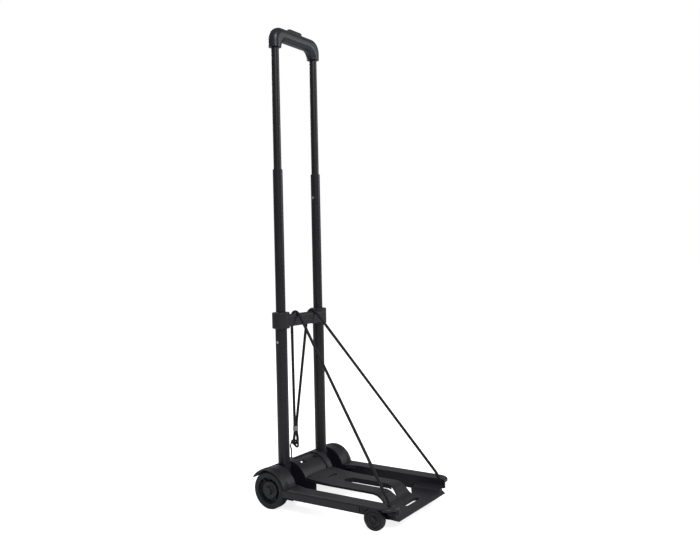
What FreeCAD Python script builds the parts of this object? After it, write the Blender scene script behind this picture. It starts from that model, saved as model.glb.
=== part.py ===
"""Folding platform cart: two-stage telescoping frame on a moulded platform with four wheels.

Millimetres, +Z up. The front of the platform looks along -Y, the rear axle lies along X.
The origin is on the floor, under the middle of the cart.
"""
import FreeCAD, Part
import math
import os
import re
import Sketcher

os.makedirs("parts", exist_ok=True)
doc = FreeCAD.newDocument("cart")
V = FreeCAD.Vector

# ---------------------------------------------------------------- dimensions
DIMS = {
    # rear axle and wheels
    "axle_y": 125.0, "axle_z": 37.5, "axle_dia": 8.0, "wheel_r": 37.5,
    "wheel_in": 97.0, "wheel_out": 117.5, "hub_in": 88.2,
    # front wheels
    "small_r": 21.4, "small_y": -118.4, "small_in": 103.3, "small_out": 114.3, "pin_dia": 5.0,
    # rails of the platform
    "rail_in": 92.0, "rail_out": 124.0, "rail_top": 47.5, "rail_low": 32.5, "wall_low": 19.0,
    "wall": 3.0, "front_y": -162.5,
    # hood and fenders, measured from the rear axle
    "hood_r": 44.0, "hood_half": 48.5, "panel_half": 33.0, "panel_r": 41.0,
    "fender_in": 84.0, "fender_out": 121.0, "lip_rise": 23.5,
    # front panel and hand slot
    "deck_top": 24.5, "deck_low": 18.5, "slot_y": -134.0, "slot_half": 21.0, "slot_r": 6.0,
    # cord holes
    "cord_x": 100.0, "cord_y": -146.5, "cord_dia": 6.0, "pad_r": 7.4, "knot_r": 6.0,
    # telescoping frame
    "tube_x": 65.0, "lower_dia": 24.0, "middle_dia": 20.0, "upper_dia": 16.0, "tube_wall": 1.0,
    "lower_end": 52.0, "lower_top": 388.0, "middle_end": 312.0, "middle_top": 680.4,
    "upper_end": 612.0, "upper_top": 945.5, "middle_lock_z": 331.0, "upper_lock_z": 631.0,
    # feet, and the eye behind the hood that the cord's hook is caught in
    "foot_r": 17.0, "foot_top": 77.6, "socket_r": 13.2,
    "eye_y": 158.6, "eye_z": 69.7, "eye_r": 1.75, "lug_r": 3.6,
    "plug_top": 104.0, "rivet_z": 96.0,
    # bracket
    "bracket_low": 358.4, "bracket_top": 391.8, "collar_r": 18.0, "web_low": 362.4, "web_top": 387.0,
    "screw_x": 42.8, "screw_z": 374.4,
    # handle and release button
    "grip_low": 928.0, "grip_under": 942.5, "grip_top": 969.5, "grip_half_x": 77.75, "grip_half_y": 12.75,
    "grip_inner_x": 52.25, "grip_outer_r": 27.0, "grip_inner_r": 14.0, "grip_round": 11.5,
    "button_half": 22.0, "button_low": 953.0, "button_top": 975.0, "button_travel": 4.0,
    "rod_dia": 4.0, "rod_low": 650.0, "yoke_low": 950.0,
}
sheet = doc.addObject("Spreadsheet::Sheet", "Dims")
for row, (alias, value) in enumerate(DIMS.items(), start=1):
    sheet.set(f"A{row}", alias)
    sheet.set(f"B{row}", str(value))
    sheet.setAlias(f"B{row}", alias)
doc.recompute()


def ex(formula):
    """Formula of dimension names -> expression on the sheet."""
    swap = lambda m: "Dims." + m.group(0) if m.group(0) in DIMS else m.group(0)
    return re.sub(r"[a-z][a-z0-9_]*", swap, str(formula))


# ---------------------------------------------------------------- building blocks
TURN = {
    "z": FreeCAD.Rotation(),
    "x": FreeCAD.Rotation(V(0, 1, 0), 90),
    "y": FreeCAD.Rotation(V(1, 0, 0), -90),
}


def put(obj, x, y, z):
    obj.setExpression("Placement.Base.x", ex(x))
    obj.setExpression("Placement.Base.y", ex(y))
    obj.setExpression("Placement.Base.z", ex(z))


def box(name, x, y, z):
    """Box between two formulas on each axis."""
    obj = doc.addObject("Part::Box", name)
    obj.setExpression("Length", ex(f"({x[1]}) - ({x[0]})"))
    obj.setExpression("Width", ex(f"({y[1]}) - ({y[0]})"))
    obj.setExpression("Height", ex(f"({z[1]}) - ({z[0]})"))
    put(obj, x[0], y[0], z[0])
    return obj


def side_box(name, side, x, y, z):
    """Box between two distances from the middle plane, on one side of it."""
    return box(name, x if side > 0 else (f"0 - ({x[1]})", f"0 - ({x[0]})"), y, z)


def cyl(name, axis, radius, length, at):
    obj = doc.addObject("Part::Cylinder", name)
    obj.setExpression("Radius", ex(radius))
    obj.setExpression("Height", ex(length))
    obj.Placement = FreeCAD.Placement(V(), TURN[axis])
    put(obj, *at)
    return obj


def side_cyl(name, side, radius, x, y, z):
    """Cylinder along X between two distances from the middle plane, on one side of it."""
    start = x[0] if side > 0 else f"0 - ({x[1]})"
    return cyl(name, "x", radius, f"({x[1]}) - ({x[0]})", (start, y, z))


def fuse(name, parts):
    obj = doc.addObject("Part::MultiFuse", name)
    obj.Shapes = parts
    obj.Refine = True
    return obj


def cut(name, base, tools):
    obj = doc.addObject("Part::Cut", name)
    obj.Base = base
    obj.Tool = tools[0] if len(tools) == 1 else fuse(name + "_tools", tools)
    obj.Refine = True
    return obj


def common(name, base, tool):
    obj = doc.addObject("Part::Common", name)
    obj.Base = base
    obj.Tool = tool
    return obj


def round_edges(name, base, radius, pick):
    """Fillet the edges of a feature that the test picks."""
    doc.recompute()
    edges = [i for i, edge in enumerate(base.Shape.Edges, start=1) if pick(edge)]
    if not edges:
        raise RuntimeError(f"{name}: no edge to round")
    obj = doc.addObject("Part::Fillet", name)
    obj.Base = base
    obj.Edges = [(i, radius, radius) for i in edges]
    return obj


def along(edge, axis):
    """True for a straight edge along an axis."""
    if edge.Curve.TypeId != "Part::GeomLine":
        return False
    direction = edge.tangentAt(edge.FirstParameter)
    return abs(abs(direction.dot(axis)) - 1) < 1e-6


def draw(sketch, steps):
    """Closed outline: each step is a corner (u, v), or (u, v, mid_u, mid_v) reached over an arc."""
    corners = [V(step[0], step[1], 0) for step in steps]
    for i, step in enumerate(steps):
        start = corners[i - 1]
        if len(step) == 4:
            sketch.addGeometry(Part.Arc(start, V(step[2], step[3], 0), corners[i]), False)
        else:
            sketch.addGeometry(Part.LineSegment(start, corners[i]), False)


def sketch_on(body, role, steps):
    sketch = body.newObject("Sketcher::SketchObject", body.Name + "_sketch")
    plane = [f for f in body.Origin.OriginFeatures if f.Role == role][0]
    sketch.AttachmentSupport = [(plane, "")]
    sketch.MapMode = "FlatFace"
    draw(sketch, steps)
    return sketch


def turned(name, steps, side=1):
    """Body turned about the X axis from an outline of (x, radius), placed on a formula later."""
    body = doc.addObject("PartDesign::Body", name)
    sketch = sketch_on(body, "XZ_Plane", [(side * x, radius) for x, radius in steps])
    solid = body.newObject("PartDesign::Revolution", name + "_turn")
    solid.Profile = sketch
    solid.ReferenceAxis = (sketch, ["H_Axis"])
    solid.Angle = 360
    return body


def padded(name, role, steps, low, high):
    """Body padded from an outline on an origin plane, between two distances along its normal."""
    body = doc.addObject("PartDesign::Body", name)
    sketch = sketch_on(body, role, steps)
    pad = body.newObject("PartDesign::Pad", name + "_pad")
    pad.Profile = sketch
    pad.setExpression("Length", ex(f"({high}) - ({low})"))
    move = {"XY_Plane": "z", "XZ_Plane": "y", "YZ_Plane": "x"}[role]
    if role == "XZ_Plane":
        pad.Reversed = True
    body.setExpression("Placement.Base." + move, ex(low))
    return body


def lofted(name, outlines):
    """Ruled solid through closed outlines of 3-D points."""
    wires = []
    for i, points in enumerate(outlines):
        wire = doc.addObject("Part::Polygon", f"{name}_section_{i}")
        wire.Nodes = [V(*p) for p in points]
        wire.Close = True
        wires.append(wire)
    obj = doc.addObject("Part::Loft", name)
    obj.Sections = wires
    obj.Solid = True
    obj.Ruled = True
    return obj


NODES = []


def node(obj, label):
    obj.Label = label
    NODES.append(obj)
    return obj


SIDES = ((-1, "left"), (1, "right"))
AXLE = ("axle_y", "axle_z")

# ---------------------------------------------------------------- platform moulding
solids = []
holes = []
for side, word in SIDES:
    # rail: hollow from below, its inner wall deeper than its outer skirt
    rail = side_box(f"rail_{word}", side, ("rail_in", "rail_out"), ("front_y", "axle_y - 30"),
                    ("wall_low", "rail_top"))
    corner = lambda e: along(e, V(0, 0, 1)) and abs(e.Vertexes[0].X) > 120 and e.Vertexes[0].Y < 0
    rail = round_edges(f"rail_{word}_plan", rail, 24.0, corner)
    crest = lambda e: e.BoundBox.ZMin > DIMS["rail_top"] - 0.01 and abs(e.BoundBox.Center.x) > 100
    rail = round_edges(f"rail_{word}_crest", rail, 3.5, crest)
    hollow = side_box(f"rail_{word}_hollow", side, ("rail_in + wall", "rail_out - wall"),
                      ("front_y + wall", "axle_y"), ("wall_low - 1", "rail_top - wall"))
    hollow = round_edges(f"rail_{word}_hollow_plan", hollow, 21.0, corner)
    under = side_box(f"rail_{word}_under", side, ("rail_in + wall", "rail_out + 1"),
                     ("front_y - 1", "axle_y"), ("wall_low - 1", "rail_low"))
    arch = side_box(f"rail_{word}_arch", side, ("rail_in + wall", "rail_out + 1"),
                    ("small_y - small_r - 3", "small_y + small_r + 3"), ("rail_low - 1", "small_r*2 + 1.2"))
    ear = side_box(f"rail_{word}_ear", side, ("rail_in + wall", "rail_out + 1"),
                   ("front_y - 1", "small_y - small_r"), ("rail_low - 1", "rail_top - 6"))
    notch = side_cyl(f"rail_{word}_notch", side, "4.5", ("rail_in - 1", "rail_in + wall + 1"),
                     "cord_y + 1", "wall_low")
    shell = cut(f"rail_{word}_shell", rail, [hollow, under, arch, ear, notch])
    # broad hollow curve from the rail's inner wall down to the front panel
    curve = [(78.5, 24.0), (92.5, 24.0), (92.5, 38.5), (78.5, 24.5, 88.4, 28.6)]
    steps = [(side * step[0], step[1]) + tuple(side * u if i == 0 else u for i, u in enumerate(step[2:]))
             for step in curve]
    solids.append(padded(f"rail_{word}_curve", "XZ_Plane", steps, "front_y + 1", "0 - 93"))
    # bosses for the front axle and the cord hole
    boss = side_cyl(f"pin_boss_{word}", side, "6.5", ("rail_in", "small_in - 0.4"), "small_y", "small_r")
    strut = side_box(f"pin_strut_{word}", side, ("rail_in", "rail_in + 5"), ("small_y - 9", "small_y + 9"),
                     ("small_r - 4", "rail_top - wall"))
    cup = cyl(f"cord_cup_{word}", "z", "7", "5", (f"{side}*cord_x", "cord_y", "rail_top - wall - 4"))
    solids += [shell, boss, strut, cup]
    holes.append(side_cyl(f"pin_hole_{word}", side, "pin_dia/2", ("rail_in - 1", "small_in + 1"),
                          "small_y", "small_r"))
    holes.append(cyl(f"cord_hole_{word}", "z", "cord_dia/2 + 0.5", "20",
                     (f"{side}*cord_x", "cord_y", "rail_top - 15")))
    # sunk pad round the cord hole
    holes.append(cyl(f"cord_pad_{word}", "z", "pad_r", "2", (f"{side}*cord_x", "cord_y", "rail_top - 0.6")))
    # fender: shell over the wheel, disc inside it that carries the axle
    cover = side_cyl(f"fender_{word}", side, "hood_r", ("fender_in", "fender_out"), *AXLE)
    ribs = [side_cyl(f"fender_{word}_rib_{i}", side, "hood_r + 0.7", (f"{x}", f"{x} + 1.4"), *AXLE)
            for i, x in enumerate((105.5, 109.5, 113.5))]
    fender = fuse(f"fender_{word}_ribbed", [cover] + ribs)
    inside = side_cyl(f"fender_{word}_inside", side, "hood_r - wall", ("fender_in + wall", "fender_out + 1"),
                      *AXLE)
    rear = side_box(f"fender_{word}_rear", side, ("fender_in + wall", "fender_out + 1"),
                    ("axle_y", "axle_y + 60"), ("0 - 20", "axle_z + lip_rise"))
    front = side_box(f"fender_{word}_front", side, ("fender_in + wall", "fender_out + 1"),
                     ("axle_y - 60", "axle_y + 1"), ("0 - 20", "rail_low"))
    below = side_box(f"fender_{word}_below", side, ("fender_in - 1", "fender_out + 1"),
                    ("axle_y - 60", "axle_y + 60"), ("0 - 30", "14"))
    solids.append(cut(f"fender_{word}_shell", fender, [inside, rear, front, below]))
    holes.append(side_cyl(f"wheel_room_{word}", side, "hood_r - wall", ("fender_in + wall", "rail_out + 1"),
                          *AXLE))
    # wedge where the fender's inner face runs out into the rail
    wedge = [(84.0, 89.0), (95.0, 89.0), (95.0, 52.0), (92.0, 52.0), (84.0, 74.0)]
    solids.append(padded(f"flare_{word}", "XY_Plane", [(side * x, y) for x, y in wedge],
                         "rail_top - 8", "rail_top"))
    # saddle behind the upright tube, and bridge under the foot, between hood and fender
    saddle = side_cyl(f"saddle_{word}", side, "hood_r", ("hood_half - 1", "fender_in + 1"), *AXLE)
    solids.append(cut(f"saddle_{word}_cut", saddle, [
        side_cyl(f"saddle_{word}_core", side, "hood_r - wall", ("hood_half - 2", "fender_in + 2"), *AXLE),
        side_box(f"saddle_{word}_front", side, ("40", "90"), ("axle_y - 60", "axle_y + 16"),
                 ("0 - 30", "100")),
        side_box(f"saddle_{word}_low", side, ("40", "90"), ("axle_y", "axle_y + 60"),
                 ("0 - 30", "axle_z + lip_rise")),
    ]))
    solids.append(side_box(f"bridge_{word}", side, ("hood_half - wall", "fender_in + wall"),
                           ("axle_y - 35", "axle_y + 28"), ("14", "19.5")))

# hood between the tubes, with a sunk middle panel and two slits
drum = cyl("hood_drum", "x", "hood_r", "2*hood_half", ("0 - hood_half", *AXLE))
panel_drum = cyl("hood_panel", "x", "panel_r", "2*panel_half + 2", ("0 - panel_half - 1", *AXLE))
sunk = cyl("hood_sunk", "x", "hood_r + 1", "2*panel_half", ("0 - panel_half", *AXLE))
sunk = cut("hood_sunk_ring", sunk, [panel_drum])
front_part = box("hood_front_part", ("0 - 60", "60"), ("axle_y - 60", "axle_y + 6"), ("52", "100"))
core = cyl("hood_core", "x", "hood_r - 5.5", "2*hood_half - 2*wall", ("0 - hood_half + wall", *AXLE))
rear = box("hood_rear", ("0 - hood_half + wall", "hood_half - wall"), ("axle_y", "axle_y + 60"),
           ("0 - 20", "axle_z + lip_rise"))
front = box("hood_front", ("0 - hood_half + wall", "hood_half - wall"), ("axle_y - 60", "axle_y + 1"),
            ("0 - 20", "46"))
below = box("hood_below", ("0 - 60", "60"), ("axle_y - 60", "axle_y + 60"), ("0 - 30", "14"))
slits = [side_box(f"hood_slit_{word}", side, ("panel_half - 18", "panel_half - 5"),
                  ("axle_y - 20", "axle_y - 10"), ("60", "100")) for side, word in SIDES]
sinking = common("hood_sinking", sunk, front_part)
solids.append(cut("hood", drum, [core, rear, front, below, sinking] + slits))
for side, word in SIDES:
    solids.append(side_box(f"hood_cheek_{word}", side, ("hood_half - wall", "hood_half"),
                           ("axle_y - 67", "axle_y - 20"), ("wall_low", "47")))


# eye for the cord's hook, on the rear of the hood
lug = cyl("eye_lug", "x", "lug_r", "3", ("0 - 1.5", "eye_y", "eye_z"))
lug_root = box("eye_root", ("0 - 1.5", "1.5"), ("eye_y - 6", "eye_y + lug_r"), ("eye_z - 5.5", "eye_z"))
solids += [lug, lug_root]
holes.append(cyl("eye_hole", "x", "eye_r", "6", ("0 - 3", "eye_y", "eye_z")))


# centre plate: crowned channel from the hood, dipping to the front panel
def plate_section(y, half, edge, crest, skirt, thick):
    """Outline of the channel at one y: edge and crest heights, skirt depth, wall thickness."""
    outer = [(-half, edge - skirt), (-half, edge), (-20, crest),
             (20, crest), (half, edge), (half, edge - skirt)]
    inner = [(half - thick, edge - skirt), (half - thick, edge - thick), (20, crest - thick),
             (-20, crest - thick), (-half + thick, edge - thick), (-half + thick, edge - skirt)]
    return [(x, y, z) for x, z in outer + inner]


plate = lofted("centre_plate", [
    plate_section(82.0, 48.0, 52.0, 54.0, 8.0, 3.0),
    plate_section(57.0, 47.0, 49.0, 50.5, 6.0, 3.0),
    plate_section(20.0, 46.5, 46.6, 47.3, 4.4, 3.0),
    plate_section(-76.0, 46.0, 46.3, 47.0, 4.2, 3.0),
    plate_section(-86.0, 46.0, 44.8, 45.4, 4.6, 3.0),
    plate_section(-93.0, 46.0, 41.0, 41.5, 5.2, 3.6),
    plate_section(-100.0, 45.5, 34.5, 34.8, 6.0, 4.4),
    plate_section(-106.0, 45.0, 28.4, 28.6, 5.6, 4.0),
    plate_section(-113.0, 44.0, 24.5, 24.6, 4.4, 3.0),
])
solids.append(plate)
# wall round the teardrop opening, under the plate
flange = padded("teardrop_flange", "XY_Plane",
                [(-16.5, 3.0), (-16.5, -76.0), (-12.9, -84.0), (12.9, -84.0), (16.5, -76.0), (16.5, 3.0)],
                "37.5", "45")
solids += [flange, cyl("teardrop_flange_rear", "z", "16.5", "7.5", ("0", "3", "37.5"))]
# front panel: sloping lip, rear edge swept back to the rails
panel = padded("front_panel", "XY_Plane",
               [(-92.5, -84.0), (-45.0, -112.0), (45.0, -112.0), (92.5, -84.0),
                (92.5, -161.5), (-92.5, -161.5)],
               "deck_low", "deck_top")
panel_hollow = padded("front_panel_hollow", "XY_Plane",
                      [(-89.5, -89.0), (-46.0, -115.0), (46.0, -115.0), (89.5, -89.0),
                       (89.5, -146.0), (-89.5, -146.0)],
                      "deck_low - 1", "deck_top - wall")
slot_wall = fuse("slot_wall", [
    box("slot_wall_box", ("0 - slot_half", "slot_half"), ("slot_y - slot_r - 2.5", "slot_y + slot_r + 2.5"),
        ("deck_low", "deck_top")),
    cyl("slot_wall_a", "z", "slot_r + 2.5", "deck_top - deck_low", ("0 - slot_half", "slot_y", "deck_low")),
    cyl("slot_wall_b", "z", "slot_r + 2.5", "deck_top - deck_low", ("slot_half", "slot_y", "deck_low")),
])
slope = padded("front_slope", "YZ_Plane",
               [(-155.0, 24.5), (-155.0, 30.0), (-170.0, 30.0), (-170.0, 19.8), (-161.5, 19.8)],
               "0 - 100", "100")
panel_shell = cut("front_panel_shell", panel, [panel_hollow])
solids.append(fuse("front_panel_solid", [panel_shell, slot_wall]))
holes.append(slope)
holes += [
    box("slot_box", ("0 - slot_half", "slot_half"), ("slot_y - slot_r", "slot_y + slot_r"), ("0", "40")),
    cyl("slot_a", "z", "slot_r", "40", ("0 - slot_half", "slot_y", "0")),
    cyl("slot_b", "z", "slot_r", "40", ("slot_half", "slot_y", "0")),
]
# teardrop opening of the centre plate
holes.append(padded("teardrop", "XY_Plane", [
    (-14.5, 3.0), (-14.5, -76.0), (-1.5, -103.0), (1.5, -103.0, 0.0, -104.5), (14.5, -76.0), (14.5, 3.0)],
    "10", "60"))
holes.append(cyl("teardrop_rear", "z", "14.5", "50", ("0", "3", "10")))
holes.append(cyl("axle_hole", "x", "axle_dia/2", "260", ("0 - 130", *AXLE)))
# sunk oval in front of the hood
holes.append(fuse("oval", [
    box("oval_box", ("0 - 11", "11"), ("axle_y - 80", "axle_y - 72"), ("47.8", "60")),
    cyl("oval_a", "z", "4", "12", ("0 - 11", "axle_y - 76", "47.8")),
    cyl("oval_b", "z", "4", "12", ("11", "axle_y - 76", "47.8")),
]))
# discs and hood end just short of the rear wheels' back
holes.append(box("rear_trim", ("0 - 130", "130"), ("axle_y + 37.3", "axle_y + 70"), ("0", "100")))
node(cut("platform", fuse("platform_solids", solids), holes), "platform")

# ---------------------------------------------------------------- rear axle and wheels
node(cyl("rear_axle", "x", "axle_dia/2", "237", ("0 - 118.5", *AXLE)), "rear_axle")
washers = []
for side, word in SIDES:
    cap = side_cyl(f"cap_{word}", side, "7", ("wheel_out + 0.2", "wheel_out + 2.4"), *AXLE)
    bore = side_cyl(f"cap_{word}_bore", side, "axle_dia/2", ("wheel_out - 5", "118.5"), *AXLE)
    node(cut(f"cap_{word}_bored", cap, [bore]), f"axle_cap_{word}")
    washer = side_cyl(f"washer_{word}", side, "8.5", ("fender_in + wall", "fender_in + wall + 1"), *AXLE)
    washers.append(cut(f"washer_{word}_bored", washer,
                       [side_cyl(f"washer_{word}_bore", side, "axle_dia/2", ("80", "100"), *AXLE)]))
node(fuse("washers", washers), "rear_axle_washers")

for side, word in SIDES:
    tyre = turned(f"rear_tyre_{word}", [
        (97.0, 29.0), (97.0, 35.0), (99.5, 37.5), (115.0, 37.5), (117.5, 35.0), (117.5, 29.0)], side)
    rim = turned(f"rear_rim_{word}", [
        (88.4, 4.05), (88.4, 8.0), (103.0, 9.0), (103.0, 25.5), (98.0, 26.0), (98.0, 29.0), (117.0, 29.0),
        (117.0, 26.5), (107.5, 25.5), (106.5, 19.0), (113.0, 18.0), (114.2, 16.5), (114.2, 9.5), (115.0, 8.6),
        (117.3, 8.0), (117.3, 4.05)], side)
    put(tyre, "0", *AXLE)
    put(rim, "0", *AXLE)
    node(tyre, f"rear_tyre_{word}")
    arms = []
    for i in range(6):
        angle = 60 * i + 20
        arm = side_box(f"spoke_{word}_{i}", side, ("104", "111"), ("0", "2"), ("0", "12.5"))
        arm.Placement.Rotation = FreeCAD.Rotation(V(1, 0, 0), angle)
        arm.setExpression("Placement.Base.y", ex(f"axle_y - cos({angle} deg) - 16*sin({angle} deg)"))
        arm.setExpression("Placement.Base.z", ex(f"axle_z - sin({angle} deg) + 16*cos({angle} deg)"))
        arms.append(arm)
    node(fuse(f"rear_wheel_{word}_fused", [rim] + arms), f"rear_wheel_{word}")

# ---------------------------------------------------------------- front wheels
for side, word in SIDES:
    small = turned(f"small_wheel_{word}", [
        (103.3, 2.55), (103.3, 7.0), (104.8, 8.0), (104.8, 17.5), (103.3, 18.5), (103.3, 19.9),
        (104.8, 21.4),
        (112.8, 21.4), (114.3, 19.9), (114.3, 16.2), (113.0, 15.6), (113.0, 14.0), (114.0, 13.4), (114.0, 9.6),
        (112.6, 9.0), (112.6, 6.6), (113.8, 6.0), (113.8, 2.55)], side)
    put(small, "0", "small_y", "small_r")
    node(small, f"front_wheel_{word}")
    pin = side_cyl(f"front_pin_{word}_shank", side, "pin_dia/2", ("rail_in - 0.5", "small_out + 0.2"),
                   "small_y", "small_r")
    head = side_cyl(f"front_pin_{word}_head", side, "5", ("small_out + 0.1", "small_out + 1.5"),
                    "small_y", "small_r")
    node(fuse(f"front_pin_{word}_fused", [pin, head]), f"front_axle_{word}")

# ---------------------------------------------------------------- feet and telescoping tubes
for side, word in SIDES:
    hub = side_cyl(f"foot_hub_{word}", side, "foot_r", ("50", "81"), *AXLE)
    centre = f"{side}*tube_x"
    socket = cyl(f"foot_socket_{word}", "z", "socket_r", "foot_top - axle_z", (centre, *AXLE))
    rim = cyl(f"foot_rim_{word}", "z", "socket_r + 1", "3", (centre, "axle_y", "foot_top - 3"))
    plug = cyl(f"foot_plug_{word}", "z", "lower_dia/2 - tube_wall", "plug_top - axle_z - 8",
               (centre, "axle_y", "axle_z + 8"))
    room_out = cyl(f"foot_room_out_{word}", "z", "lower_dia/2", "60", (centre, "axle_y", "lower_end"))
    room_in = cyl(f"foot_room_in_{word}", "z", "lower_dia/2 - tube_wall", "60",
                  (centre, "axle_y", "lower_end"))
    tube_room = cut(f"foot_room_{word}", room_out, [room_in])
    foot = cut(f"foot_{word}_cut", fuse(f"foot_{word}_solid", [hub, socket, rim, plug]), [
        tube_room,
        side_cyl(f"foot_bore_{word}", side, "axle_dia/2 + 0.05", ("45", "90"), *AXLE),
        side_cyl(f"foot_rivet_{word}", side, "2", ("50", "61"), "axle_y", "rivet_z"),
    ])
    node(foot, f"foot_{word}")

STAGES = {
    "lower": ("lower_dia", "lower_end", "lower_top", ("middle_lock_z",)),
    "middle": ("middle_dia", "middle_end", "middle_top", ("middle_lock_z", "upper_lock_z")),
    "upper": ("upper_dia", "upper_end", "upper_top", ("upper_lock_z",)),
}
# the middle stage locks on the tubes' outer sides, the upper stage on their inner sides
LOCK_SIDE = {"middle_lock_z": 1, "upper_lock_z": -1}
for stage, (dia, low, top, locks) in STAGES.items():
    for side, word in SIDES:
        centre = f"{side}*tube_x"
        outside = cyl(f"{stage}_{word}_out", "z", f"{dia}/2", f"{top} - {low}", (centre, "axle_y", low))
        inside = cyl(f"{stage}_{word}_in", "z", f"{dia}/2 - tube_wall", f"{top} - {low} + 2",
                     (centre, "axle_y", f"{low} - 1"))
        drilled = [inside]
        for lock in locks:
            outward = side * LOCK_SIDE[lock] > 0
            hole_x = centre if outward else f"{centre} - 15"
            drilled.append(cyl(f"{stage}_{word}_{lock}", "x", "3.2", "15", (hole_x, "axle_y", lock)))
        if stage == "lower":
            drilled.append(side_cyl(f"lower_{word}_rivet", side, "2", ("50", "60"), "axle_y", "rivet_z"))
        node(cut(f"{stage}_tube_{word}_cut", outside, drilled), f"{stage}_tube_{word}")

rivets = []
for side, word in SIDES:
    shank = side_cyl(f"rivet_{word}_shank", side, "2", ("tube_x - lower_dia/2", "60"), "axle_y", "rivet_z")
    head = side_cyl(f"rivet_{word}_head", side, "3.4",
                    ("tube_x - lower_dia/2 - 0.9", "tube_x - lower_dia/2 + 0.6"), "axle_y", "rivet_z")
    head = cut(f"rivet_{word}_seat", head, [cyl(f"rivet_{word}_tube", "z", "lower_dia/2", "20",
                                                (f"{side}*tube_x", "axle_y", "rivet_z - 10"))])
    rivets.append(fuse(f"rivet_{word}", [shank, head]))
node(fuse("rivets", rivets), "foot_rivets")

# ---------------------------------------------------------------- bracket at the top of the lower tubes
collars = []
bores = []
for side, word in SIDES:
    centre = f"{side}*tube_x"
    collar = cyl(f"collar_{word}", "z", "collar_r", "bracket_top - bracket_low",
                 (centre, "axle_y", "bracket_low"))
    ends = lambda e: e.Curve.TypeId == "Part::GeomCircle"
    collars.append(round_edges(f"collar_{word}_round", collar, 2.0, ends))
    bores.append(cyl(f"collar_{word}_bore", "z", "lower_dia/2", "lower_top - bracket_low + 1",
                     (centre, "axle_y", "bracket_low - 1")))
    bores.append(cyl(f"collar_{word}_mouth", "z", "middle_dia/2 + 0.25", "20",
                     (centre, "axle_y", "lower_top - 1")))
web = box("web", ("0 - tube_x", "tube_x"), ("axle_y - 17.5", "axle_y - 2"), ("web_low", "web_top"))
upper_long = lambda e: along(e, V(1, 0, 0)) and e.Vertexes[0].Z > DIMS["web_low"] + 1
web = round_edges("web_round", web, 5.5, upper_long)
bores.append(box("web_sink", ("0 - 37.5", "37.5"), ("axle_y - 10.5", "axle_y + 5"),
                 ("web_low + 3", "web_top - 8")))
screws = []
for side, word in SIDES:
    screw_x = f"{side}*screw_x"
    bores.append(cyl(f"screw_{word}_hole", "y", "1.8", "20", (screw_x, "axle_y - 15", "screw_z")))
    shank = cyl(f"screw_{word}_shank", "y", "1.8", "13", (screw_x, "axle_y - 15", "screw_z"))
    head = cyl(f"screw_{word}_head", "y", "3.4", "2", (screw_x, "axle_y - 2", "screw_z"))
    screws.append(fuse(f"screw_{word}", [shank, head]))
node(cut("bracket_cut", fuse("bracket_solid", collars + [web]), bores), "tube_bracket")
node(fuse("screws", screws), "bracket_screws")

# ---------------------------------------------------------------- glides, mouth rings and lock clips
for stage, bore in (("middle", "lower_dia"), ("upper", "middle_dia")):
    dia, low, top, locks = STAGES[stage]
    for side, word in SIDES:
        centre = f"{side}*tube_x"
        glide = f"{stage}_glide_{word}"
        shoe = cyl(glide + "_shoe", "z", f"{bore}/2 - tube_wall - 0.2", "6", (centre, "axle_y", f"{low} - 6"))
        stem = cyl(glide + "_stem", "z", f"{dia}/2 - tube_wall", "8", (centre, "axle_y", low))
        hole = cyl(glide + "_hole", "z", "3", "30", (centre, "axle_y", f"{low} - 10"))
        node(cut(glide + "_cut", fuse(glide + "_solid", [shoe, stem]), [hole]), glide)

for side, word in SIDES:
    centre = f"{side}*tube_x"
    brim = cyl(f"mouth_{word}_brim", "z", "middle_dia/2", "1.5", (centre, "axle_y", "middle_top"))
    liner = cyl(f"mouth_{word}_liner", "z", "middle_dia/2 - tube_wall", "14",
                (centre, "axle_y", "middle_top - 14"))
    hole = cyl(f"mouth_{word}_hole", "z", "upper_dia/2 + 0.25", "40", (centre, "axle_y", "middle_top - 20"))
    node(cut(f"mouth_{word}_cut", fuse(f"mouth_{word}_solid", [brim, liner]), [hole]), f"mouth_ring_{word}")


def lock_clip(name, centre, way, inner_r, reach, z):
    """Spring clip bent like a hairpin inside a tube, with a round stud that looks out through the wall."""
    leg = inner_r - 0.3
    far = f"{centre} - {way * (leg - 1.4)}"
    near = f"{centre} + {way * (leg - 1.4)}"
    strips = []
    for tag, where in (("far", far), ("near", near)):
        strips.append(box(f"{name}_{tag}", (f"{where} - 0.4", f"{where} + 0.4"),
                          ("axle_y - 2.5", "axle_y + 2.5"), (f"{z} - 4", f"{z} + 9")))
    bend_out = cyl(f"{name}_bend_out", "y", f"{leg - 1.0}", "5", (centre, "axle_y - 2.5", f"{z} + 9"))
    bend = cut(f"{name}_bend", bend_out, [
        cyl(f"{name}_bend_in", "y", f"{leg - 1.8}", "7", (centre, "axle_y - 3.5", f"{z} + 9")),
        box(f"{name}_bend_low", (f"{centre} - 20", f"{centre} + 20"), ("axle_y - 9", "axle_y + 9"),
            (f"{z} - 20", f"{z} + 9")),
    ])
    stud_x = near if way > 0 else f"{centre} - {reach}"
    stud = cyl(f"{name}_stud", "x", "2.8", f"{reach - leg + 1.4}", (stud_x, "axle_y", z))
    return fuse(f"{name}_solid", strips + [bend, stud])


for side, word in SIDES:
    centre = f"{side}*tube_x"
    node(lock_clip(f"mlock_{word}", centre, side, 9.0, 12.9, "middle_lock_z"), f"middle_lock_{word}")
    node(lock_clip(f"ulock_{word}", centre, -side, 7.0, 10.9, "upper_lock_z"), f"upper_lock_{word}")

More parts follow.
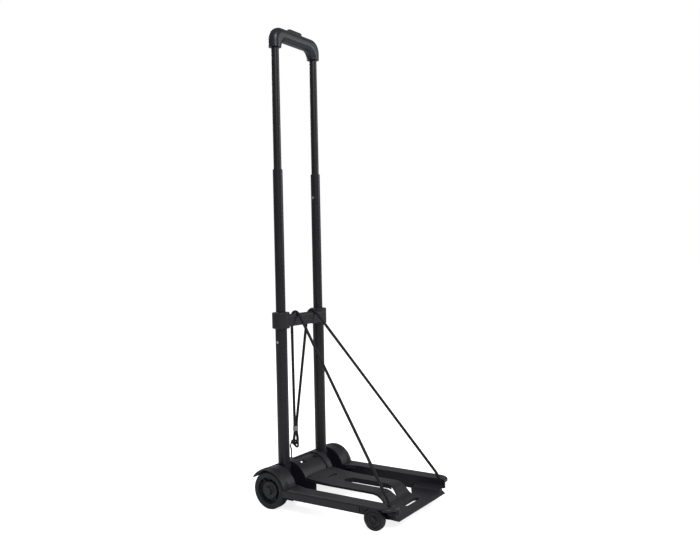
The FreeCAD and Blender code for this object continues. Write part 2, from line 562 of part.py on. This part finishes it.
# ---------------------------------------------------------------- handle
low, under, top, half = (DIMS[k] for k in ("grip_low", "grip_under", "grip_top", "grip_half_x"))
inner, outer_r, inner_r = (DIMS[k] for k in ("grip_inner_x", "grip_outer_r", "grip_inner_r"))
q = math.sqrt(0.5)
outline = [
    (-half, low), (-half, top - outer_r),
    (-half + outer_r, top, -half + outer_r - outer_r * q, top - outer_r + outer_r * q),
    (half - outer_r, top),
    (half, top - outer_r, half - outer_r + outer_r * q, top - outer_r + outer_r * q),
    (half, low), (inner, low), (inner, under - inner_r),
    (inner - inner_r, under, inner - inner_r + inner_r * q, under - inner_r + inner_r * q),
    (inner_r - inner, under),
    (-inner, under - inner_r, inner_r - inner - inner_r * q, under - inner_r + inner_r * q),
    (-inner, low)]
grip = padded("grip_blank", "XZ_Plane", outline, "axle_y - grip_half_y", "axle_y + grip_half_y")


def long_grip_edge(edge):
    """Edge of the grip's outline on its front or rear face, but not at the foot of a leg."""
    centre = edge.BoundBox.Center
    on_face = abs(abs(centre.y - DIMS["axle_y"]) - DIMS["grip_half_y"]) < 0.01
    return on_face and edge.BoundBox.ZMax > low + 0.4


grip = round_edges("grip_round", grip, DIMS["grip_round"], long_grip_edge)
cuts = [
    box("grip_cavity", ("0 - 69", "69"), ("axle_y - 4.5", "axle_y + 4.5"), ("upper_top", "958.5")),
    box("grip_window", ("0 - button_half - 0.4", "button_half + 0.4"), ("axle_y - 6.9", "axle_y + 6.9"),
        ("button_low - button_travel - 0.5", "980")),
]
for side, word in SIDES:
    cuts.append(cyl(f"grip_bore_{word}", "z", "upper_dia/2", "30",
                    (f"{side}*tube_x", "axle_y", "upper_top - 30")))
node(cut("grip_cut", grip, cuts), "handle_grip")

button = box("button_blank", ("0 - button_half", "button_half"), ("axle_y - 6.5", "axle_y + 6.5"),
             ("button_low", "button_top"))
button = round_edges("button_ends", button, 6.0, lambda e: along(e, V(0, 0, 1)))
button = round_edges("button_round", button, 5.0, lambda e: e.BoundBox.ZMin > DIMS["button_top"] - 0.01)
node(button, "release_button")
yoke = box("yoke_bar", ("0 - 67", "67"), ("axle_y - 3.5", "axle_y + 3.5"), ("yoke_low", "button_low"))
node(yoke, "release_yoke")
for side, word in SIDES:
    rod = cyl(f"rod_{word}", "z", "rod_dia/2", "yoke_low - rod_low", (f"{side}*tube_x", "axle_y", "rod_low"))
    node(rod, f"release_rod_{word}")


# ---------------------------------------------------------------- elastic cord, ferrule and hook
def cord_tube(name, points, radii, dia):
    """Tube along straight runs joined by tangent arcs; radii are those of the inner points."""
    pts = [V(*p) for p in points]
    edges = []
    reached = pts[0]
    for i in range(1, len(pts) - 1):
        back = (pts[i - 1] - pts[i]).normalize()
        ahead = (pts[i + 1] - pts[i]).normalize()
        half_turn = (math.pi - back.getAngle(ahead)) / 2
        reach = radii[i - 1] * math.tan(half_turn)
        first = pts[i] + back * reach
        last = pts[i] + ahead * reach
        inward = (back + ahead).normalize()
        middle = pts[i] + inward * (radii[i - 1] / math.cos(half_turn) - radii[i - 1])
        edges.append(Part.LineSegment(reached, first).toShape())
        edges.append(Part.Arc(first, middle, last).toShape())
        reached = last
    edges.append(Part.LineSegment(reached, pts[-1]).toShape())
    spine = Part.Wire(edges)
    ring = Part.Wire(Part.makeCircle(dia / 2, pts[0], pts[1] - pts[0]))
    tube = spine.makePipeShell([ring], True, True)
    expected = math.pi * dia * dia / 4 * spine.Length
    print(f"{name}: length {spine.Length:.1f} mm, radii {['%.1f' % r for r in radii]}, "
          f"volume ratio {tube.Volume / expected:.4f}")
    obj = doc.addObject("Part::Feature", name)
    obj.Shape = tube
    return obj


cord_dia = DIMS["cord_dia"]
ay = DIMS["axle_y"]
top_z = DIMS["web_top"] + cord_dia / 2 + 0.5
hang_y = ay + 18.5
for side, word in SIDES:
    corner = (side * DIMS["cord_x"], DIMS["cord_y"])
    node(cord_tube(f"cord_front_{word}", [
        (*corner, 40.5), (*corner, 49.5), (side * 29.0, ay - 16.3, top_z), (side * 28.6, ay - 9.9, top_z)],
        (10.0, 8.5), cord_dia), f"cord_front_{word}")
half_loop = [(28.6, ay - 9.7, top_z), (28.3, ay + 0.8, top_z), (3.1, hang_y, 146.0), (3.1, hang_y, 129.0),
             (6.4, hang_y, 117.0), (6.4, hang_y, 105.7)]
loop = [(-x, y, z) for x, y, z in half_loop] + half_loop[::-1]
loop_radii = [8.5, 30.0, 20.0, 20.0, 6.3]
node(cord_tube("cord_back", loop, loop_radii + loop_radii[::-1], cord_dia), "cord_back")

# ferrule: flattened sleeve crimped round both strands
ferrule_z = ("133", "143.5")
sleeve = fuse("ferrule_blank", [
    box("ferrule_box", ("0 - 3.1", "3.1"), (f"{hang_y} - 4", f"{hang_y} + 4"), ferrule_z),
    cyl("ferrule_a", "z", "4", "10.5", ("0 - 3.1", f"{hang_y}", "133")),
    cyl("ferrule_b", "z", "4", "10.5", ("3.1", f"{hang_y}", "133")),
])
node(cut("ferrule_cut", sleeve, [
    box("ferrule_slot", ("0 - 3.1", "3.1"), (f"{hang_y} - 3.06", f"{hang_y} + 3.06"), ("130", "146")),
    cyl("ferrule_bore_a", "z", "cord_dia/2 + 0.06", "16", ("0 - 3.1", f"{hang_y}", "130")),
    cyl("ferrule_bore_b", "z", "cord_dia/2 + 0.06", "16", ("3.1", f"{hang_y}", "130")),
]), "cord_ferrule")

# knots under the front corners, leaning on the ceiling of the rail
for side, word in SIDES:
    ball = doc.addObject("Part::Sphere", f"knot_{word}")
    ball.setExpression("Radius", ex("knot_r"))
    knot_x = f"{side}*(cord_x + 1.2)"
    put(ball, knot_x, "cord_y", "35.5")
    top_cut = box(f"knot_{word}_top", (f"{knot_x} - 9", f"{knot_x} + 9"), ("cord_y - 9", "cord_y + 9"),
                  ("40.5", "50"))
    node(cut(f"knot_{word}_flat", ball, [top_cut]), f"cord_knot_{word}")

# hook: three-cornered wire eye through the cord's loop, and a leg down to the eye on the hood
eye_y, eye_z = DIMS["eye_y"], DIMS["eye_z"]
ring = cord_tube("hook_ring", [
    (0, ay + 23.9, 110.72), (0, ay + 12.9, 112.0), (0, ay + 12.9, 94.9), (0, ay + 33.6, 109.6),
    (0, ay + 23.5, 110.77)], (3.4, 3.4, 2.6), 4.4)
leg = cord_tube("hook_leg", [
    (0, ay + 29.6, 109.0), (0, eye_y, 98.0), (3.5, eye_y, 88.0), (3.5, eye_y, eye_z), (-4.5, eye_y, eye_z)],
    (8.0, 8.0, 1.7), 3.0)
node(fuse("hook", [ring, leg]), "cord_hook")

# ---------------------------------------------------------------- check and export
doc.recompute()
for obj in doc.Objects:
    if "Invalid" in obj.State or "Error" in obj.State:
        raise RuntimeError(f"{obj.Name}: {obj.State}")
for obj in NODES:
    shape = obj.Shape
    if shape.isNull() or not shape.isValid():
        raise RuntimeError(f"{obj.Label}: bad shape")
    shape.exportStep(f"parts/{obj.Label}.step")
    size = shape.BoundBox
    print(f"{obj.Label:22s} solids {len(shape.Solids)} volume {shape.Volume:10.0f} "
          f"x {size.XMin:7.1f} {size.XMax:7.1f} y {size.YMin:7.1f} {size.YMax:7.1f} "
          f"z {size.ZMin:7.1f} {size.ZMax:7.1f}")
print(len(NODES), "nodes")
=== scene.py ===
"""Looks of the folding platform cart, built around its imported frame.

Metres, +Z up, the front of the platform looks along -Y.
"""
import math

import bpy
import numpy as np
from mathutils import Matrix, Vector


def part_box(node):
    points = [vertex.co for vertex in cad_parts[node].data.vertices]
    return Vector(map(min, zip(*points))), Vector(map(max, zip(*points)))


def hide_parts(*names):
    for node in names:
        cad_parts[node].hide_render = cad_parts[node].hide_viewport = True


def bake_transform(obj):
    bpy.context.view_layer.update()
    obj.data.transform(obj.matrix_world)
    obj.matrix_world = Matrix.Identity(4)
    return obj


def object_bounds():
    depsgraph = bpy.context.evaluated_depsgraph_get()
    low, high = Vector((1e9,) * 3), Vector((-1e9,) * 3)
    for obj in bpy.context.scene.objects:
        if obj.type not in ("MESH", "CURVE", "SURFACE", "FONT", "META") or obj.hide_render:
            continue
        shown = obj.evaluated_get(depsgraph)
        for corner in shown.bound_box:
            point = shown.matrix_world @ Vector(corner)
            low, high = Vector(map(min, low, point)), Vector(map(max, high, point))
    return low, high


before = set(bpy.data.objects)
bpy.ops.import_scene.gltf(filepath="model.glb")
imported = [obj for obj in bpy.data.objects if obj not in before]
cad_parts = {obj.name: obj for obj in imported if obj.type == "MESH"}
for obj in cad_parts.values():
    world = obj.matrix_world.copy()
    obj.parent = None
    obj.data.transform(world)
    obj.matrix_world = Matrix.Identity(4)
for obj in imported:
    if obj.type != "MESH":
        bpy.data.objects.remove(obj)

cad_low, cad_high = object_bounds()
scene = bpy.context.scene
scene.view_settings.view_transform = "Standard"

SIDES = ((-1, "left"), (1, "right"))
axle_low, axle_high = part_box("rear_axle")
AXLE_Y = (axle_low.y + axle_high.y) / 2


# ---------------------------------------------------------------- camera
CAMERA_AT = (-1.2694, -0.8349, 0.5045)
CAMERA_TURN = (-56.76, 1.86, -1.11)  # azimuth, elevation and roll in degrees
CAMERA_LENS = 38.67


def add_camera():
    azimuth, elevation, roll = (math.radians(angle) for angle in CAMERA_TURN)
    back = Vector((math.sin(azimuth) * math.cos(elevation),
                   -math.cos(azimuth) * math.cos(elevation),
                   math.sin(elevation)))
    level = Vector((math.cos(azimuth), math.sin(azimuth), 0))
    upright = back.cross(level)
    right = level * math.cos(roll) + upright * math.sin(roll)
    up = upright * math.cos(roll) - level * math.sin(roll)
    turn = Matrix((right, up, back)).transposed().to_4x4()
    data = bpy.data.cameras.new("camera")
    data.lens = CAMERA_LENS
    data.clip_start = 0.05
    data.clip_end = 50
    camera = bpy.data.objects.new("camera", data)
    scene.collection.objects.link(camera)
    camera.matrix_world = Matrix.Translation(CAMERA_AT) @ turn
    scene.camera = camera


add_camera()


# ---------------------------------------------------------------- building nodes
def add_node(tree, kind, inputs=None, **settings):
    """Node with its settings; inputs maps a socket name or index to a value or to another socket."""
    made = tree.nodes.new(kind)
    for name, value in settings.items():
        setattr(made, name, value)
    for key, value in (inputs or {}).items():
        if isinstance(value, bpy.types.NodeSocket):
            tree.links.new(value, made.inputs[key])
        else:
            made.inputs[key].default_value = value
    return made


def maths(tree, operation, a, b=0.0, clamp=False):
    return add_node(tree, "ShaderNodeMath", {0: a, 1: b}, operation=operation, use_clamp=clamp).outputs[0]


def spread(tree, value, low, high):
    """A value of 0 to 1 spread between two others."""
    made = add_node(tree, "ShaderNodeMath", {0: value, 1: high - low, 2: low}, operation="MULTIPLY_ADD")
    return made.outputs[0]


def ramp(tree, value, low, high):
    """0 below low, 1 above high, smooth in between."""
    made = add_node(tree, "ShaderNodeMapRange", {"Value": value, "From Min": low, "From Max": high},
                    interpolation_type="SMOOTHSTEP")
    return made.outputs["Result"]


def object_place(tree):
    return tree.nodes.new("ShaderNodeTexCoord").outputs["Object"]


def stretched(tree, place, scale, turn=(0, 0, 0)):
    """Place turned, and scaled apart along X, Y and Z."""
    made = add_node(tree, "ShaderNodeMapping", {"Vector": place, "Rotation": turn, "Scale": scale})
    return made.outputs[0]


def noise(tree, place, scale, detail, roughness=0.5):
    """Cloudy value of about 0 to 1 at a place."""
    made = add_node(tree, "ShaderNodeTexNoise",
                    {"Vector": place, "Scale": scale, "Detail": detail, "Roughness": roughness})
    return made.outputs["Fac"]


def mix_colour(tree, factor, a, b):
    return add_node(tree, "ShaderNodeMix", {0: factor, 6: a, 7: b}, data_type="RGBA").outputs[2]


def bump(tree, height, distance, edge=None):
    """Normal from a height, over edges that look rounded by the given radius."""
    made = add_node(tree, "ShaderNodeBump", {"Height": height, "Distance": distance})
    if edge is not None:
        rounded = add_node(tree, "ShaderNodeBevel", {"Radius": edge}, samples=6)
        tree.links.new(rounded.outputs["Normal"], made.inputs["Normal"])
    return made.outputs["Normal"]


# ---------------------------------------------------------------- effects used by several materials
def new_group(name, given, gives):
    """Empty node group; given maps an input's name to its first value, gives lists the outputs."""
    group = bpy.data.node_groups.new(name, "ShaderNodeTree")
    for socket_name, value in given.items():
        socket = group.interface.new_socket(socket_name, in_out="INPUT", socket_type="NodeSocketFloat")
        socket.default_value = value
    for socket_name in gives:
        group.interface.new_socket(socket_name, in_out="OUTPUT", socket_type="NodeSocketFloat")
    return group, group.nodes.new("NodeGroupInput"), group.nodes.new("NodeGroupOutput")


def moulded_grain():
    """Fine spark-eroded grain of moulded plastic, with slow drift in its gloss."""
    group, source, sink = new_group("moulded_grain", {"Grain Size": 0.0007}, ("Height", "Gloss Drift"))
    place = object_place(group)
    scale = maths(group, "DIVIDE", 1.0, source.outputs["Grain Size"])
    group.links.new(noise(group, place, scale, 2.0), sink.inputs["Height"])
    group.links.new(noise(group, place, 28.0, 3.0), sink.inputs["Gloss Drift"])
    return group


def rubbed_marks():
    """Thin light scuffs in two directions, gathered in patches."""
    group, source, sink = new_group("rubbed_marks", {"Amount": 0.5}, ("Mask",))
    place = object_place(group)
    lines = []
    for turn, stretch in (((0.3, 0.1, 0.5), (60, 1400, 300)), ((0.2, 0.6, -0.7), (1200, 50, 260))):
        streak = noise(group, stretched(group, place, stretch, turn), 1.0, 1.0)
        lines.append(ramp(group, streak, 0.66, 0.72))
    where = ramp(group, noise(group, place, 22.0, 4.0), 0.5, 0.68)
    gathered = maths(group, "MULTIPLY", maths(group, "MAXIMUM", *lines), where)
    group.links.new(maths(group, "MULTIPLY", gathered, source.outputs["Amount"]), sink.inputs["Mask"])
    return group


def settled_dust():
    """Dust in clouds on faces that look up."""
    group, source, sink = new_group("settled_dust", {"Amount": 0.3}, ("Mask",))
    normal = group.nodes.new("ShaderNodeNewGeometry").outputs["Normal"]
    upward = add_node(group, "ShaderNodeSeparateXYZ", {0: normal}).outputs["Z"]
    cloud = noise(group, object_place(group), 45.0, 6.0, 0.65)
    lying = maths(group, "MULTIPLY", ramp(group, upward, 0.3, 0.95), ramp(group, cloud, 0.35, 0.75))
    group.links.new(maths(group, "MULTIPLY", lying, source.outputs["Amount"]), sink.inputs["Mask"])
    return group


GRAIN = moulded_grain()
RUBBED = rubbed_marks()
DUST = settled_dust()


def use_group(tree, group, **values):
    """The group placed in a material; grain_size=0.001 sets its input Grain Size."""
    made = tree.nodes.new("ShaderNodeGroup")
    made.node_tree = group
    for name, value in values.items():
        made.inputs[name.replace("_", " ").title()].default_value = value
    return made.outputs


# ---------------------------------------------------------------- finishes of the cart
def new_material(name, **constants):
    """Material with a Principled surface; constants are set on the shader's own sockets."""
    material = bpy.data.materials.new(name)
    material.use_nodes = True
    tree = material.node_tree
    shader = tree.nodes["Principled BSDF"]
    for socket, value in constants.items():
        shader.inputs[socket.replace("_", " ")].default_value = value
    return material, tree, shader


DUST_COLOUR = (0.11, 0.107, 0.105, 1)


def plastic(name, colour, scuffed, rough, grain_size, grain_depth, scuffs, dust, edge=0.0008):
    """Moulded plastic: base colour, colour where scuffed, roughness range, grain, wear and edge radius."""
    material, tree, shader = new_material(name, IOR=1.46)
    grain = use_group(tree, GRAIN, grain_size=grain_size)
    marks = use_group(tree, RUBBED, amount=scuffs)["Mask"]
    lying = use_group(tree, DUST, amount=dust)["Mask"]
    worn = mix_colour(tree, marks, colour, scuffed)
    tree.links.new(mix_colour(tree, lying, worn, DUST_COLOUR), shader.inputs["Base Color"])
    drift = spread(tree, grain["Gloss Drift"], *rough)
    duller = maths(tree, "ADD", drift, maths(tree, "MULTIPLY", lying, 0.35), clamp=True)
    tree.links.new(duller, shader.inputs["Roughness"])
    tree.links.new(bump(tree, grain["Height"], grain_depth, edge), shader.inputs["Normal"])
    return material


def platform_plastic():
    return plastic("platform_plastic", colour=(0.0098, 0.0098, 0.0146, 1), scuffed=(0.034, 0.035, 0.044, 1),
                   rough=(0.36, 0.52), grain_size=0.0008, grain_depth=0.00006, scuffs=0.45, dust=0.06,
                   edge=0.0014)


def joint_plastic():
    return plastic("joint_plastic", colour=(0.0094, 0.0094, 0.0136, 1), scuffed=(0.048, 0.048, 0.056, 1),
                   rough=(0.40, 0.55), grain_size=0.0007, grain_depth=0.00005, scuffs=0.45, dust=0.06)


def grip_plastic():
    return plastic("grip_plastic", colour=(0.0125, 0.0155, 0.0230, 1), scuffed=(0.046, 0.054, 0.066, 1),
                   rough=(0.30, 0.42), grain_size=0.0011, grain_depth=0.00005, scuffs=0.35, dust=0.05)


def button_plastic():
    return plastic("button_plastic", colour=(0.006, 0.006, 0.007, 1), scuffed=(0.04, 0.04, 0.04, 1),
                   rough=(0.28, 0.40), grain_size=0.0006, grain_depth=0.00003, scuffs=0.6, dust=0.04)


def wheel_plastic():
    return plastic("wheel_plastic", colour=(0.0112, 0.0118, 0.0150, 1), scuffed=(0.056, 0.057, 0.062, 1),
                   rough=(0.42, 0.58), grain_size=0.0007, grain_depth=0.00005, scuffs=0.5, dust=0.05)


def hook_coat():
    return plastic("hook_coat", colour=(0.010, 0.011, 0.014, 1), scuffed=(0.06, 0.06, 0.06, 1),
                   rough=(0.22, 0.34), grain_size=0.0009, grain_depth=0.00003, scuffs=0.3, dust=0.0)


def tyre_rubber():
    """Dull rubber whose tread is greyed by the floor."""
    material, tree, shader = new_material("tyre_rubber", IOR=1.45)
    grain = use_group(tree, GRAIN, grain_size=0.0005)
    marks = use_group(tree, RUBBED, amount=0.8)["Mask"]
    greyed = maths(tree, "MULTIPLY", ramp(tree, grain["Gloss Drift"], 0.42, 0.72), 0.5)
    rubber = mix_colour(tree, greyed, (0.0102, 0.0115, 0.0148, 1), (0.028, 0.029, 0.032, 1))
    tree.links.new(mix_colour(tree, marks, rubber, (0.07, 0.068, 0.066, 1)), shader.inputs["Base Color"])
    tree.links.new(spread(tree, grain["Gloss Drift"], 0.52, 0.77), shader.inputs["Roughness"])
    tree.links.new(bump(tree, grain["Height"], 0.00008), shader.inputs["Normal"])
    return material


def tube_paint():
    """Black stoved paint on steel: slight orange peel, fine draw lines and long rub marks from sliding."""
    material, tree, shader = new_material("tube_paint", IOR=1.42, Coat_Weight=0.06, Coat_Roughness=0.25)
    place = object_place(tree)
    peel = noise(tree, place, 900.0, 1.0)
    drawn = noise(tree, stretched(tree, place, (900, 900, 7)), 1.0, 2.0)
    height = maths(tree, "ADD", maths(tree, "MULTIPLY", peel, 0.7), maths(tree, "MULTIPLY", drawn, 0.3))
    patch = noise(tree, place, 16.0, 3.0)
    rubs = maths(tree, "MULTIPLY", ramp(tree, drawn, 0.62, 0.74), ramp(tree, patch, 0.45, 0.7))
    colour = mix_colour(tree, rubs, (0.0078, 0.0077, 0.0108, 1), (0.025, 0.025, 0.030, 1))
    tree.links.new(colour, shader.inputs["Base Color"])
    tree.links.new(spread(tree, patch, 0.30, 0.46), shader.inputs["Roughness"])
    tree.links.new(bump(tree, height, 0.00004), shader.inputs["Normal"])
    return material


STAINED = 0.55  # part of the steel's brightness that is left where it is stained


def steel(name, colour, rough, streak):
    """Steel with fine machining streaks, of the given depth, and a slow stain."""
    material, tree, shader = new_material(name, Metallic=1.0)
    place = object_place(tree)
    lines = noise(tree, stretched(tree, place, (3500, 240, 240)), 1.0, 2.0)
    stain = ramp(tree, noise(tree, place, 160.0, 4.0), 0.35, 0.75)
    stained = tuple(part * STAINED for part in colour[:3]) + (1,)
    tree.links.new(mix_colour(tree, stain, colour, stained), shader.inputs["Base Color"])
    tree.links.new(spread(tree, lines, rough, rough + 0.25), shader.inputs["Roughness"])
    tree.links.new(bump(tree, lines, streak), shader.inputs["Normal"])
    return material


def cord_cover():
    """Plaited sheath of an elastic cord: the plait is geometry, the yarn in it is bump from the UV map."""
    material, tree, shader = new_material("cord_cover", IOR=1.4, Sheen_Weight=0.04, Sheen_Roughness=0.5)
    along = tree.nodes.new("ShaderNodeUVMap").outputs["UV"]
    yarn = noise(tree, stretched(tree, along, (5200, 1500, 1), (0, 0, 0.5)), 1.0, 2.0)
    fuzz = noise(tree, along, 130.0, 3.0)
    sheath = mix_colour(tree, yarn, (0.0030, 0.0035, 0.0035, 1), (0.010, 0.0115, 0.0115, 1))
    fuzzed = maths(tree, "MULTIPLY", ramp(tree, fuzz, 0.55, 0.8), 0.5)
    tree.links.new(mix_colour(tree, fuzzed, sheath, (0.03, 0.03, 0.029, 1)), shader.inputs["Base Color"])
    tree.links.new(spread(tree, fuzz, 0.62, 0.82), shader.inputs["Roughness"])
    tree.links.new(bump(tree, yarn, 0.00012), shader.inputs["Normal"])
    return material


MATERIALS = {
    "platform": platform_plastic(),
    "joint": joint_plastic(),
    "grip": grip_plastic(),
    "button": button_plastic(),
    "wheel": wheel_plastic(),
    "rubber": tyre_rubber(),
    "paint": tube_paint(),
    "bare": steel("bare_steel", (0.55, 0.55, 0.56, 1), rough=0.28, streak=0.00002),
    "dark": steel("dark_steel", (0.06, 0.06, 0.065, 1), rough=0.34, streak=0.00002),
    "bright": steel("bright_steel", (0.78, 0.78, 0.78, 1), rough=0.16, streak=0.00001),
    "ferrule": steel("ferrule_metal", (0.42, 0.41, 0.40, 1), rough=0.30, streak=0.00002),
    "cord": cord_cover(),
    "hook": hook_coat(),
}

NODE_FINISH = {
    "platform": "platform",
    "rear_axle": "bare", "rear_axle_washers": "bare",
    "tube_bracket": "joint", "bracket_screws": "bare", "foot_rivets": "dark",
    "handle_grip": "grip", "release_button": "button", "release_yoke": "joint",
    "cord_back": "cord", "cord_ferrule": "ferrule", "cord_hook": "hook",
}
for _, word in SIDES:
    NODE_FINISH.update({
        f"axle_cap_{word}": "wheel", f"rear_tyre_{word}": "rubber", f"rear_wheel_{word}": "wheel",
        f"front_wheel_{word}": "wheel", f"front_axle_{word}": "dark",
        f"foot_{word}": "joint", f"lower_tube_{word}": "paint", f"middle_tube_{word}": "paint",
        f"upper_tube_{word}": "paint", f"middle_glide_{word}": "joint", f"upper_glide_{word}": "joint",
        f"mouth_ring_{word}": "joint", f"middle_lock_{word}": "bright", f"upper_lock_{word}": "bright",
        f"release_rod_{word}": "bare", f"cord_knot_{word}": "cord", f"cord_front_{word}": "cord",
    })
for name, finish in NODE_FINISH.items():
    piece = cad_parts[name]
    piece.data.materials.clear()
    piece.data.materials.append(MATERIALS[finish])


# ---------------------------------------------------------------- elastic cord
CORD_DIAMETER = 0.0060
PLAIT_DEPTH = 0.00016
PLAIT_STRANDS = 8
PLAIT_PITCH = 0.0125
CORD_STEP = 0.0007
CORD_AROUND = 32

CORNER_X, CORNER_Y = 0.100, -0.1465
WEB_TOP = 0.387  # top of the bracket between the tubes
CORD_GAP = 0.0005
TOP_Z = WEB_TOP + CORD_DIAMETER / 2 + CORD_GAP
HANG_Y = AXLE_Y + 0.0185


def route_line(name, points):
    """Points down the middle of a cord, read from the NURBS spline with these control points."""
    data = bpy.data.curves.new(name + "_route", "CURVE")
    data.dimensions = "3D"
    data.resolution_u = 40
    spline = data.splines.new("NURBS")
    spline.points.add(len(points) - 1)
    for point, place in zip(spline.points, points):
        point.co = (*place, 1)
    spline.order_u = 3
    spline.use_endpoint_u = True
    holder = bpy.data.objects.new(name + "_route", data)
    mesh = bpy.data.meshes.new_from_object(holder)
    line = np.array([vertex.co for vertex in mesh.vertices])
    bpy.data.meshes.remove(mesh)
    bpy.data.curves.remove(data)
    return line


def evenly(line, step):
    """Evenly spaced points on a line, no further apart than a step, and how far along each one is."""
    run = np.concatenate([[0], np.cumsum(np.linalg.norm(np.diff(line, axis=0), axis=1))])
    at = np.linspace(0, run[-1], math.ceil(run[-1] / step) + 1)
    return np.stack([np.interp(at, run, line[:, axis]) for axis in range(3)], axis=1), at


def plait_radius(angles, run):
    """Radius round a plaited sheath at a distance along it: it stands up where strands cross."""
    turn = 2 * math.pi * run / PLAIT_PITCH
    left_laid = np.cos(PLAIT_STRANDS * angles / 2 + turn) ** 2
    right_laid = np.cos(PLAIT_STRANDS * angles / 2 - turn) ** 2
    return CORD_DIAMETER / 2 - PLAIT_DEPTH * (1 - np.sqrt(left_laid * right_laid))


def plaited_rings(points, at):
    """Rings of the sheath's surface, square to the line at each of its points."""
    tangents = np.gradient(points, axis=0)
    tangents /= np.linalg.norm(tangents, axis=1)[:, None]
    across = np.array((1.0, 0.0, 0.0))
    angles = np.linspace(0, 2 * math.pi, CORD_AROUND, endpoint=False)
    rings = []
    for point, tangent, run in zip(points, tangents, at):
        across = across - tangent * across.dot(tangent)
        across /= np.linalg.norm(across)
        other = np.cross(tangent, across)
        outward = np.cos(angles)[:, None] * across + np.sin(angles)[:, None] * other
        rings.append(point + plait_radius(angles, run)[:, None] * outward)
    return rings


def tube_mesh(name, rings, at):
    """Closed tube through rings; its UV map is in metres, along and round the tube."""
    faces = []
    uv = []
    girth = math.pi * CORD_DIAMETER
    for i in range(len(rings) - 1):
        this, following = i * CORD_AROUND, (i + 1) * CORD_AROUND
        for j in range(CORD_AROUND):
            k = (j + 1) % CORD_AROUND
            faces.append((this + j, this + k, following + k, following + j))
            left, right = girth * j / CORD_AROUND, girth * (j + 1) / CORD_AROUND
            uv += [at[i], left, at[i], right, at[i + 1], right, at[i + 1], left]
    last = (len(rings) - 1) * CORD_AROUND
    faces.append(tuple(range(CORD_AROUND))[::-1])
    faces.append(tuple(last + j for j in range(CORD_AROUND)))
    uv += [0.0, 0.0] * (2 * CORD_AROUND)
    mesh = bpy.data.meshes.new(name)
    mesh.from_pydata(np.concatenate(rings).tolist(), [], faces)
    mesh.uv_layers.new(name="UVMap").data.foreach_set("uv", uv)
    mesh.update()
    for polygon in mesh.polygons:
        polygon.use_smooth = True
    return mesh


def plaited_tube(name, line):
    """Cord along a line, and the evenly spaced points of its middle."""
    points, at = evenly(line, CORD_STEP)
    piece = bpy.data.objects.new(name, tube_mesh(name, plaited_rings(points, at), at))
    scene.collection.objects.link(piece)
    piece.data.materials.append(MATERIALS["cord"])
    return piece, points


for side, word in SIDES:
    corner_mouth = (side * CORNER_X, CORNER_Y, 0.0495)
    bracket_bend = (side * 0.0290, AXLE_Y - 0.0163, TOP_Z)
    route = [
        (side * CORNER_X, CORNER_Y, 0.0405), corner_mouth,
        (side * 0.0941, -0.1252, 0.0779), (side * 0.0349, AXLE_Y - 0.0376, TOP_Z - 0.0284),
        bracket_bend, (side * 0.0286, AXLE_Y - 0.0099, TOP_Z)]
    # the plait is laid from the bracket down, and the path is given from the corner up
    strand, middle = plaited_tube(f"elastic_front_{word}", route_line(f"front_{word}", route)[::-1])
    middle = middle[::-1]
    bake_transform(strand)
    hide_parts(f"cord_front_{word}")

half_loop = [
    (0.0286, AXLE_Y - 0.0097, TOP_Z), (0.0283, AXLE_Y + 0.0008, TOP_Z),
    (0.0246, AXLE_Y + 0.0034, TOP_Z - 0.0357), (0.0068, HANG_Y - 0.0026, 0.1817),
    (0.0031, HANG_Y, 0.1460), (0.0031, HANG_Y, 0.1290),
    (0.0064, HANG_Y, 0.1170), (0.0064, HANG_Y, 0.1057)]
loop_route = [(-x, y, z) for x, y, z in half_loop] + half_loop[::-1]
loop, middle = plaited_tube("elastic_back", route_line("back", loop_route))
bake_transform(loop)
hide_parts("cord_back")


# ---------------------------------------------------------------- floor, light and backdrop
BACKDROP_LIGHT = 0.26  # strength of the white backdrop as the cart sees it
FLOOR_LIFT = 0.80
LAMP_SIZE = 1.0
LAMPS = {
    # name: place, point it looks at, watts
    "key": ((-1.4, -1.7, 2.3), (0, 0, 0.3), 46),
    "fill": ((1.6, -1.8, 1.2), (0, 0, 0.3), 14),
    "rim": ((0.8, 2.0, 1.8), (0, 0, 0.5), 26),
}


def add_floor():
    bpy.ops.mesh.primitive_plane_add(size=40, location=(0, 0, cad_low.z))
    floor = bpy.context.object
    floor.name = "floor"
    material, tree, shader = new_material("floor_white", Roughness=0.9, Specular_IOR_Level=0.0)
    shader.inputs["Base Color"].default_value = (0.9, 0.9, 0.9, 1)
    shader.inputs["Emission Color"].default_value = (1, 1, 1, 1)
    # what the camera sees of the floor is lifted to the white of the backdrop; what the cart sees is not
    seen = tree.nodes.new("ShaderNodeLightPath").outputs["Is Camera Ray"]
    lift = maths(tree, "MULTIPLY", seen, FLOOR_LIFT)
    tree.links.new(lift, shader.inputs["Emission Strength"])
    floor.data.materials.append(material)


def add_lamp(name, at, look_at, power):
    data = bpy.data.lights.new(name, "AREA")
    data.size = LAMP_SIZE
    data.energy = power
    lamp = bpy.data.objects.new(name, data)
    scene.collection.objects.link(lamp)
    lamp.location = at
    lamp.rotation_euler = (Vector(at) - Vector(look_at)).to_track_quat("Z", "Y").to_euler()


def add_world():
    """White to the camera, dim to everything else."""
    world = bpy.data.worlds.new("studio")
    world.use_nodes = True
    tree = world.node_tree
    background = tree.nodes["Background"]
    background.inputs["Color"].default_value = (1, 1, 1, 1)
    seen = tree.nodes.new("ShaderNodeLightPath").outputs["Is Camera Ray"]
    tree.links.new(spread(tree, seen, BACKDROP_LIGHT, 1.0), background.inputs["Strength"])
    scene.world = world


add_floor()
add_world()
for lamp_name, lamp in LAMPS.items():
    add_lamp(lamp_name, *lamp)
